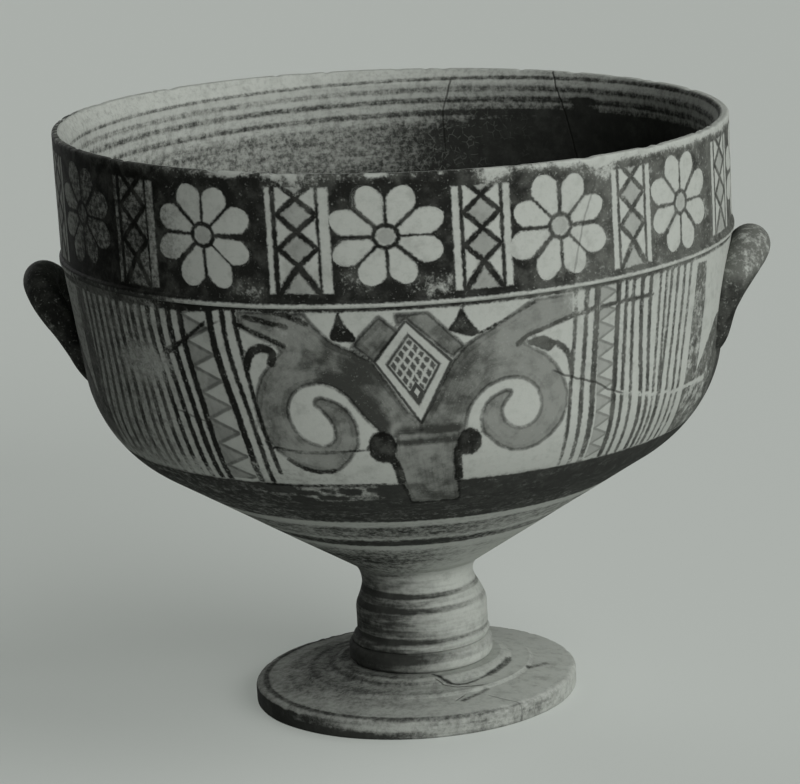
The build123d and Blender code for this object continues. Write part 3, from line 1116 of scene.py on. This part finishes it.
# Painted bands, as amounts at heights or, on the foot, at radii
inner_bands = [
    (150, 0.75), (156, 0.74), (158.6, 0.55), (160.6, 0.2), (161.4, 0.22), (162, 0.68), (163, 0.6),
    (163.8, 0.12), (165.4, 0.12), (166.2, 0.66), (167.2, 0.62), (168, 0.14), (168.8, 0.14),
    (169.6, 0.6), (170.6, 0.55), (171.4, 0.1), (172.6, 0.1), (173.1, 0.74), (173.7, 0.7), (174.3, 0.12),
    (177, 0.26),
]
cone_bands = [
    (41.5, 0.12), (46, 0.28), (49, 0.5), (53, 0.58), (55.4, 0.45), (56.4, 0.08), (57.4, 0.12),
    (58.2, 1.1), (60.2, 1.1), (61.4, 0.42), (63, 0.78), (67.4, 0.82), (68.6, 0.2), (70.2, 0.14),
    (71, 1.0), (78, 1.14), (84.5, 1.18), (89, 1.18),
]
stem_bands = [
    (17.4, 0.45), (19, 0.3), (19.7, 0.36), (20.3, 0.9), (21, 0.85), (21.8, 0.34), (24, 0.36),
    (27, 0.28), (29, 0.32), (29.7, 0.72), (30.7, 0.75), (31.3, 0.34), (33.2, 0.3), (33.8, 0.9),
    (34.7, 0.85), (35.4, 0.24), (37.5, 0.18), (42, 0.14),
]
ring_bands = [(11.2, 0.7), (12.4, 0.4), (14, 0.46), (14.6, 0.8), (17, 0.8), (17.5, 0.55)]
foot_bands = [
    (9, 0.3), (22, 0.42), (24.4, 0.58), (25.6, 0.34), (27.2, 0.6), (28.4, 0.38), (31, 0.36),
    (33.6, 0.56), (35.2, 0.32), (37.5, 0.3), (40.4, 0.4), (42, 0.3), (45, 0.3), (46.6, 0.36),
    (47.3, 0.85), (48.2, 0.8), (49, 0.42),
]
wall_finish = WallFinish("painted_wall", stain=0.6, bump=0.4).finish(
    inner_bands, coat=(0.05, 1.25), streaks=0.12, spots=0.22
)
bowl_finish = BowlFinish("painted_bowl", stain=0.6, bump=0.4, lift=0.35).finish(
    cone_bands, coat=(0.1, 1.08), streaks=0.13, spots=0.19
)
handle_finish = ClayFinish("painted_handle", stain=0.6, bump=0.5).finish()
stem_finish = ClayFinish("stem_clay", stain=0.7, bump=0.55).finish(stem_bands, streaks=0.2)
ring_finish = ClayFinish("ring_clay", stain=0.7, bump=0.55).finish(ring_bands)
foot_finish = ClayFinish("foot_clay", stain=0.8, bump=0.6).finish(
    foot_bands, measure="radius", streaks=0.16, spots=0.14
)


def chipped(angle, count, deepest, widest):
    """Depth of the chips along an edge at view angles: knocks and a slightly ragged run between them."""
    depth = np.zeros(angle.shape)
    for _ in range(count):
        middle, half = rng.uniform(-half_round, half_round), rng.uniform(0.4, widest)
        away = np.abs(wrapped(angle - middle)) / half
        depth = np.maximum(depth, rng.uniform(0.3, 1.0) * deepest * np.clip(1 - away**2, 0, 1))
    degrees = np.linspace(-half_round, half_round, 361)
    return depth + np.interp(angle, degrees, rng.uniform(0, 0.1, len(degrees)), period=360)


# Upper wall

bead_out = 0.7
lip_flat, lip_slope = 2.4, 4.5
wall_line = section(
    (shoulder_radius - wall, shoulder_height - scarf_drop, 0, 2.5),
    (shoulder_radius, shoulder_height, 0, 0.5),
    (shoulder_radius + bead_out, shoulder_height + 0.3, 0.6, 0.3),
    (shoulder_radius + bead_out, shoulder_height + 2.0, 0.6, 0.3),
    (shoulder_radius + 0.05, shoulder_height + 2.5, 0, 0.8),
    (rim_radius, cup_height, 0.7, 0.35),
    (rim_radius - lip_flat, cup_height - 0.1, 0.7, 0.5),
    (rim_radius - wall, cup_height - lip_slope, 2.0, 1.0),
    (rim_radius - wall - 0.15, cup_height - 21, 0, 3.0),
    (shoulder_radius - wall, shoulder_height - scarf_drop, 0, 2.0),
)
upper = Turned("upper_wall", wall_finish, wall_line, segments=720, waviness=0.5, seed=3.0)
lip_row = int(np.argmax(wall_line[:, 1]))
outside = upper.row <= lip_row + 3
depth = cup_height - upper.height
outer = wall_layers(upper.angle, depth) | crack_lines(upper.angle, upper.height, outer_cracks)
inner = inner_wall_layers(upper.angle, depth) | crack_lines(upper.angle, upper.height, inner_cracks)
layers = {name: np.where(outside, outer[name], inner[name]) for name in outer}
for name, motif in zip(("rosette", "lattice"), wall_motifs(upper.angle, depth)):
    layers[name] = np.where(outside[:, None], motif, nowhere)
chips = chipped(upper.angle, count=40, deepest=0.5, widest=1.6) * falling(depth, 0.2, 2.2)
layers["wear"] = layers["wear"] + chips * 0.8
place = upper.place.copy()
place[:, 2] -= chips * MM
upper.unrolled(strips=4)
finished("cup_wall", upper.mesh, place, "upper_wall", layers)

# Lower bowl

bowl_line = section(
    (0, bowl_base - tenon_length, 0, 6),
    (stem_bore - slip_gap, bowl_base - tenon_length, 0, 6),
    (stem_bore - slip_gap, bowl_base, 0, 6),
    (base_radius, bowl_base, 0, 6),
    (belly_radius, belly_height, belly_round, 0.84),
    (shoulder_radius, shoulder_height, 0, 3),
    (shoulder_radius - wall, shoulder_height - scarf_drop, 0, 7),
    (inner_belly_radius, inner_belly_height, belly_round - wall, 7),
    (base_radius, floor_height, floor_round, 6),
    (0, floor_height, 0, 7),
)
lower = Turned("lower_bowl", bowl_finish, bowl_line, segments=780, waviness=0.6, seed=8.0)
layers = bowl_layers(lower) | crack_lines(lower.angle, lower.height, outer_cracks)
lower.unrolled(strips=3)
finished("cup_bowl", lower.mesh, lower.place, "lower_bowl", layers)

# Neck collar

hollow_round = 6.32
hollow_top = bowl_base - 0.94
collar_line = section(
    (neck_radius, bowl_base, 0, 1),
    (neck_radius, hollow_top - collar_reach, 0, 0.5),
    (neck_radius, hollow_top, hollow_round, 0.5),
    (neck_radius + 2.964, hollow_top + 1.862, 0, 1),
    (base_radius, bowl_base, 0, 1),
    (neck_radius, bowl_base, 0, 1),
)
collar = Turned("neck_collar", stem_finish, collar_line, segments=180, waviness=0.2, seed=11.0)
collar.unrolled(strips=2)
# Darker on the left of the view: painted shade
layers = plain_layers(shaded(collar, 0.75, -0.12))
finished("cup_collar", collar.mesh, collar.place, "neck_collar", layers)

# Stem

stem_line = section(
    (stem_bore, boss_height - socket_depth, 0, 4),
    (spigot_radius, boss_height - socket_depth, 0, 4),
    (spigot_radius, stem_foot, 0, 3),
    (stem_radius + 0.3, stem_foot, 0.6, 0.4),
    (stem_radius + 0.3, stem_foot + 2.0, 0.5, 0.4),
    (stem_radius - 0.6, stem_foot + 2.6, 0.5, 0.3),
    (stem_radius - 0.6, stem_foot + 3.4, 0.5, 0.3),
    (stem_radius - 0.5, stem_foot + 4.0, 0.6, 0.4),
    (stem_radius - 0.5, stem_foot + swell_height + 3.2, 6, 0.7),
    (neck_radius, bowl_base - neck_length, 6, 0.7),
    (neck_radius, bowl_base, 0, 4),
    (stem_bore, bowl_base, 0, 6),
    (stem_bore, boss_height - socket_depth, 0, 6),
)
stem = Turned("stem", stem_finish, stem_line, segments=180, waviness=0.35, seed=14.0)
stem.unrolled(strips=2)
# Darker on the left of the view: painted shade
layers = plain_layers(shaded(stem, 0.74, -0.1))
finished("cup_stem", stem.mesh, stem.place, "stem", layers)

# Base ring

ring_round = 1.76
ring_line = section(
    (spigot_radius, boss_height, 0, 2),
    (ring_radius, boss_height, ring_round, 0.4),
    (ring_radius, stem_foot, ring_round, 0.4),
    (spigot_radius, stem_foot, 0, 2),
    (spigot_radius, boss_height, 0, 2),
)
ring = Turned("base_ring", ring_finish, ring_line, segments=180, waviness=0.3, seed=17.0)
ring.unrolled(strips=2)
# Darker on the left of the view: painted shade
layers = plain_layers(shaded(ring, 0.82, -0.3))
finished("cup_ring", ring.mesh, ring.place, "base_ring", layers)

# Foot

inner_step_foot = 9.6
step_height = 0.8
foot_line = section(
    (stem_bore, recess_depth, 0, 4),
    (foot_radius - contact_width - recess_run, recess_depth, 1.0, 2),
    (foot_radius - contact_width, 0, 0.8, 2),
    (foot_radius, 0, 0.9, 0.6),
    (foot_radius, foot_edge_height, 1.3, 0.8),
    (outer_step_radius + 0.8, step_foot, 0.9, 0.3),
    (outer_step_radius - 0.4, step_foot + step_height, 0.9, 0.4),
    (inner_step_radius + 0.8, inner_step_foot, 0.9, 0.3),
    (inner_step_radius - 0.4, inner_step_foot + step_height, 0.8, 0.4),
    (boss_radius, boss_height, 0.8, 0.6),
    (spigot_radius + slip_gap, boss_height, 0, 2),
    (spigot_radius + slip_gap, boss_height - socket_depth, 0, 4),
    (stem_bore, boss_height - socket_depth, 0, 4),
    (stem_bore, recess_depth, 0, 4),
)
foot_cracks = [
    (0.8, [(10, 26), (14, 28.5), (20, 31), (33, 33)]),
    (0.6, [(17, 38), (20, 36.5)]),
    (0.5, [(32, 40), (35, 44), (38, 48)]),
]
foot_marks = [
    ([(8, 22), (22, 29.6), (40, 28.8), (57, 27.8), (80, 27.8)], 1.0),
    ([(46, 28.6), (60, 27.8), (76, 27.6)], 2.2),
    ([(19, 39), (26, 37.2), (34, 35.4)], 1.5),
    ([(72, 34.8), (82, 39.2)], 1.6),
]
foot_degree = 25 * radians(1)
foot = Turned("foot", foot_finish, foot_line, segments=360, waviness=0.7, seed=21.0)
foot.unrolled(strips=3)
# Darker round the foot's edge on the left of the view, and along its lower edge at the front left
edge_darkening = 0.8 * falling(np.abs(wrapped(foot.angle + 88)), 24, 80) - 0.1
edge_darkening += 0.75 * falling(np.abs(wrapped(foot.angle + 36)), 20, 46) * falling(foot.height, 1.4, 3.4)
on_foot = Canvas(foot.angle * foot_degree, foot.radius)
marks = [on_foot.stroke([(a * foot_degree, r) for a, r in run], width) for run, width in foot_marks]
chips = chipped(foot.angle, count=30, deepest=0.6, widest=2.6)
chips *= rising(foot.radius, foot_radius - 2.2, foot_radius - 0.4)
# Darker on the left of the view, where the stem's shadow falls: painted shade
left, right = 0.5 - 0.2 * rising(foot.radius, 34, 44), -0.24 + 0.2 * rising(foot.radius, 46, 47)
smear = shaded(foot, left, right) + np.where(foot.radius > foot_radius - 0.3, edge_darkening, 0)
smear += 0.75 * falling(joined(*marks), -0.5, 0.5) * (foot.height > 6.5) - chips * 0.3
layers = plain_layers(smear) | crack_lines(foot.angle, foot.radius, foot_cracks)
place = foot.place.copy()
place[:, 2] -= chips * np.where(foot.height > 3, 1.0, 0.0) * MM
finished("cup_foot", foot.mesh, place, "foot", layers)


# Handles: rolled rods bent to a loop

root_length = 6.0
root_taper = 0.05
pressed_in = 2.5


class Loop:
    """A handle's middle line: legs that lean outward and an arch between them, and its thickness."""

    def __init__(self, side, out, height, lean, legs, half, bend, thick):
        self.side, self.out, self.height, self.lean = side, out, height, radians(lean)
        self.legs, self.half, self.bend, self.thick = legs, half, bend, thick

    def stops(self):
        """Points (x, y, z) and radius along the line."""
        leg = [(-self.half, up) for up in np.linspace(-5, self.legs, 7)]
        turns = np.linspace(pi, 0, 9)[1:-1]
        arch = [(self.half * cos(a), self.legs + self.half * sin(a)) for a in turns]
        run = leg + arch + [(-aside, up) for aside, up in leg[::-1]]
        for aside, up in run:
            share = np.clip(up / (self.legs + self.half), 0, 1)
            root = max(root_length - up, 0)
            out = self.out + up * sin(self.lean) - root_taper * root**2
            out += 4 * self.bend * share * (1 - share)
            radius = np.interp(share, (0, 0.5, 0.8, 1), self.thick) * (1 - root_taper * root)
            height = self.height + up * cos(self.lean)
            yield (self.side * out * MM, aside * MM, height * MM), radius * MM


def handle_path(name, loop):
    """A loop as a curve."""
    curve = bpy.data.curves.new(name, "CURVE")
    curve.dimensions = "3D"
    curve.resolution_u = 8
    spline = curve.splines.new("NURBS")
    stops = list(loop.stops())
    spline.points.add(len(stops) - 1)
    for point, (spot, radius) in zip(spline.points, stops):
        point.co = (*spot, 1)
        point.radius = radius
    spline.order_u = 4
    spline.use_endpoint_u = True
    return curve


def rolled_tree(material):
    """A rod of changing thickness along a curve, closed at both ends."""
    g = TubeTree("rolled_handle")
    share = g.node("ShaderNodeClamp", None, {"Value": (g.row - 1) / (g.rows - 2)})
    path = g.node(
        "GeometryNodeSampleCurve",
        {"mode": "FACTOR", "data_type": "FLOAT", "use_all_curves": True},
        {"Curves": g.given["Geometry"], "Factor": share, "Value": g.node("GeometryNodeInputRadius")},
    )
    between = g.math("GREATER_THAN", g.row, 0.5) * g.math("LESS_THAN", g.row, g.rows - 0.5)
    thick = (path["Value"] + g.waves(path["Position"], scale=70.0, detail=2.0)) * between
    frame_of = {0: path["Tangent"], 1: path["Normal"]}
    across = g.node("ShaderNodeVectorMath", {"operation": "CROSS_PRODUCT"}, frame_of)
    first = g.scaled(path["Normal"], g.spot["X"] * thick)
    second = g.scaled(across, g.spot["Y"] * thick)
    return g.shaped(g.moved(g.moved(first, second), path["Position"]), material)


loops = {
    "handle_right": Loop(
        side=1, out=92.6, height=107.2, lean=23.5, legs=15.5, half=15.0, bend=-2.6,
        thick=(4.6, 4.4, 5.2, 5.8),
    ),
    "handle_left": Loop(
        side=-1, out=89.5, height=101.8, lean=31.6, legs=22.9, half=12.7, bend=-1.1,
        thick=(4.6, 4.0, 4.7, 5.3),
    ),
}
rolled = rolled_tree(handle_finish)
bowl_skin = lower.points[: lower.row_at(shoulder_radius, shoulder_height) + 1]
bowl_skin = bowl_skin[bowl_skin[:, 1] > bowl_base + 5]
for seed, (name, loop) in zip((4.0, 6.0), loops.items()):
    sizes = {"Segments": 32, "Rows": 90, "Waviness": 0.9 * MM, "Seed": seed}
    mesh = grown(name, handle_path(name + "_path", loop), rolled, **sizes)
    place = vertices(mesh)
    height = place[:, 2] / MM
    least_radius = np.interp(height, bowl_skin[:, 1], bowl_skin[:, 0]) - pressed_in
    place[:, :2] *= np.maximum(least_radius * MM / np.hypot(place[:, 0], place[:, 1]), 1.0)[:, None]
    pale_top = rising(height, 124, 132) if loop.side > 0 else 0.0
    layers = {
        "dark": -3.0, "wash": bare, "strong": 0.85 - 0.8 * pale_top, "wear": 0.25 + 0.45 * pale_top,
        "smear": 0.0, "banded": 0.0, "crack": bare, "cracked": 0.0, "marks": 0.1,
    }
    finished("cup_" + name, mesh, place, name, layers)


# Floor, light and camera

def floor_finish():
    """Pale paper that shows the cup's shadow softly."""
    material = bpy.data.materials.new("pale_floor")
    material.use_nodes = True
    g = Graph(material.node_tree)
    seen = g.in_sight()
    shade = g.mix(seen, (0.58, 0.597, 0.58, 1), (0.66, 0.69, 0.66, 1))
    paper = g.node("ShaderNodeBsdfDiffuse", None, {"Color": shade})
    glow = g.node("ShaderNodeEmission", None, {"Color": (0.555, 0.599, 0.555, 1), "Strength": 1.0})
    surface = g.node("ShaderNodeMixShader", None, {0: seen * 0.34, 1: paper, 2: glow})
    g.node("ShaderNodeOutputMaterial", None, {"Surface": surface})
    return material


def staged(name, corners, material):
    """A flat card with a material, put into the scene."""
    mesh = bpy.data.meshes.new(name)
    mesh.from_pydata(corners, [], [(0, 1, 2, 3)])
    mesh.materials.append(material)
    card = bpy.data.objects.new(name, mesh)
    bpy.context.scene.collection.objects.link(card)
    return card


floor_half = 6.0
floor_corners = [(x * floor_half, y * floor_half, 0) for x, y in ((-1, -1), (1, -1), (1, 1), (-1, 1))]
staged("floor", floor_corners, floor_finish())

# A dark card outside the view keeps light off the cup's left side
felt = bpy.data.materials.new("dark_felt")
felt.use_nodes = True
felt.node_tree.nodes["Principled BSDF"].inputs["Base Color"].default_value = (0.01, 0.01, 0.01, 1)
card_aside, card_near, card_far, card_height = -0.25, -0.36, 0.1, 0.5
card_corners = [(card_near, 0), (card_far, 0), (card_far, card_height), (card_near, card_height)]
dark_card = staged("dark_card", [(card_aside, y, z) for y, z in card_corners], felt)
dark_card.data.transform(Matrix.Rotation(radians(view_turn), 4, "Z"))
dark_card.visible_camera = False
dark_card.visible_shadow = False

world = bpy.data.worlds.new("studio")
world.use_nodes = True
g = Graph(world.node_tree)
sky = g.node("ShaderNodeBackground", None, {"Color": (0.95, 1.0, 0.95, 1), "Strength": 0.015})
backdrop = g.node("ShaderNodeBackground", None, {"Color": (0.37, 0.4, 0.37, 1), "Strength": 1.0})
both = g.node("ShaderNodeMixShader", None, {0: g.in_sight(), 1: sky, 2: backdrop})
g.node("ShaderNodeOutputWorld", None, {"Surface": both})
bpy.context.scene.world = world


def sunlight(name, azimuth, elevation, energy, spread):
    """A broad soft light from far off, at an azimuth from the view and an elevation, in degrees."""
    light = bpy.data.lights.new(name, "SUN")
    light.energy, light.angle = energy, radians(spread)
    lamp = bpy.data.objects.new(name, light)
    turn, rise = radians(view_turn + azimuth), radians(elevation)
    toward = Vector((sin(turn) * cos(rise), -cos(turn) * cos(rise), sin(rise)))
    lamp.rotation_euler = toward.to_track_quat("Z", "Y").to_euler()
    bpy.context.scene.collection.objects.link(lamp)


sunlight("window", azimuth=30, elevation=15, energy=1.95, spread=40)
sunlight("high_window", azimuth=75, elevation=45, energy=1.2, spread=50)
sunlight("far_window", azimuth=-150, elevation=12, energy=0.7, spread=40)

camera_distance, camera_height, camera_aside = 1067.7, 343.25, -1.8
camera_tilt, camera_roll = 0.2299, -0.0597
lens, film_width = 164.4, 36.0
turn = radians(view_turn)
right = Vector((cos(turn), sin(turn), 0))
ahead = Vector((-sin(turn), cos(turn), 0))
sight_line = ahead * cos(camera_tilt) - Vector((0, 0, sin(camera_tilt)))
up = right.cross(sight_line)
camera_right = right * cos(camera_roll) + up * sin(camera_roll)
camera_up = up * cos(camera_roll) - right * sin(camera_roll)
spot = (right * camera_aside - ahead * camera_distance + Vector((0, 0, camera_height))) * MM
camera = bpy.data.objects.new("camera", bpy.data.cameras.new("camera"))
camera.data.lens = lens
camera.data.sensor_fit = "HORIZONTAL"
camera.data.sensor_width = film_width
camera.data.clip_end = 50.0
basis = Matrix((camera_right, camera_up, -sight_line)).transposed()
camera.matrix_world = Matrix.Translation(spot) @ basis.to_4x4()
bpy.context.scene.collection.objects.link(camera)
bpy.context.scene.camera = camera
bpy.context.scene.view_settings.view_transform = "Standard"
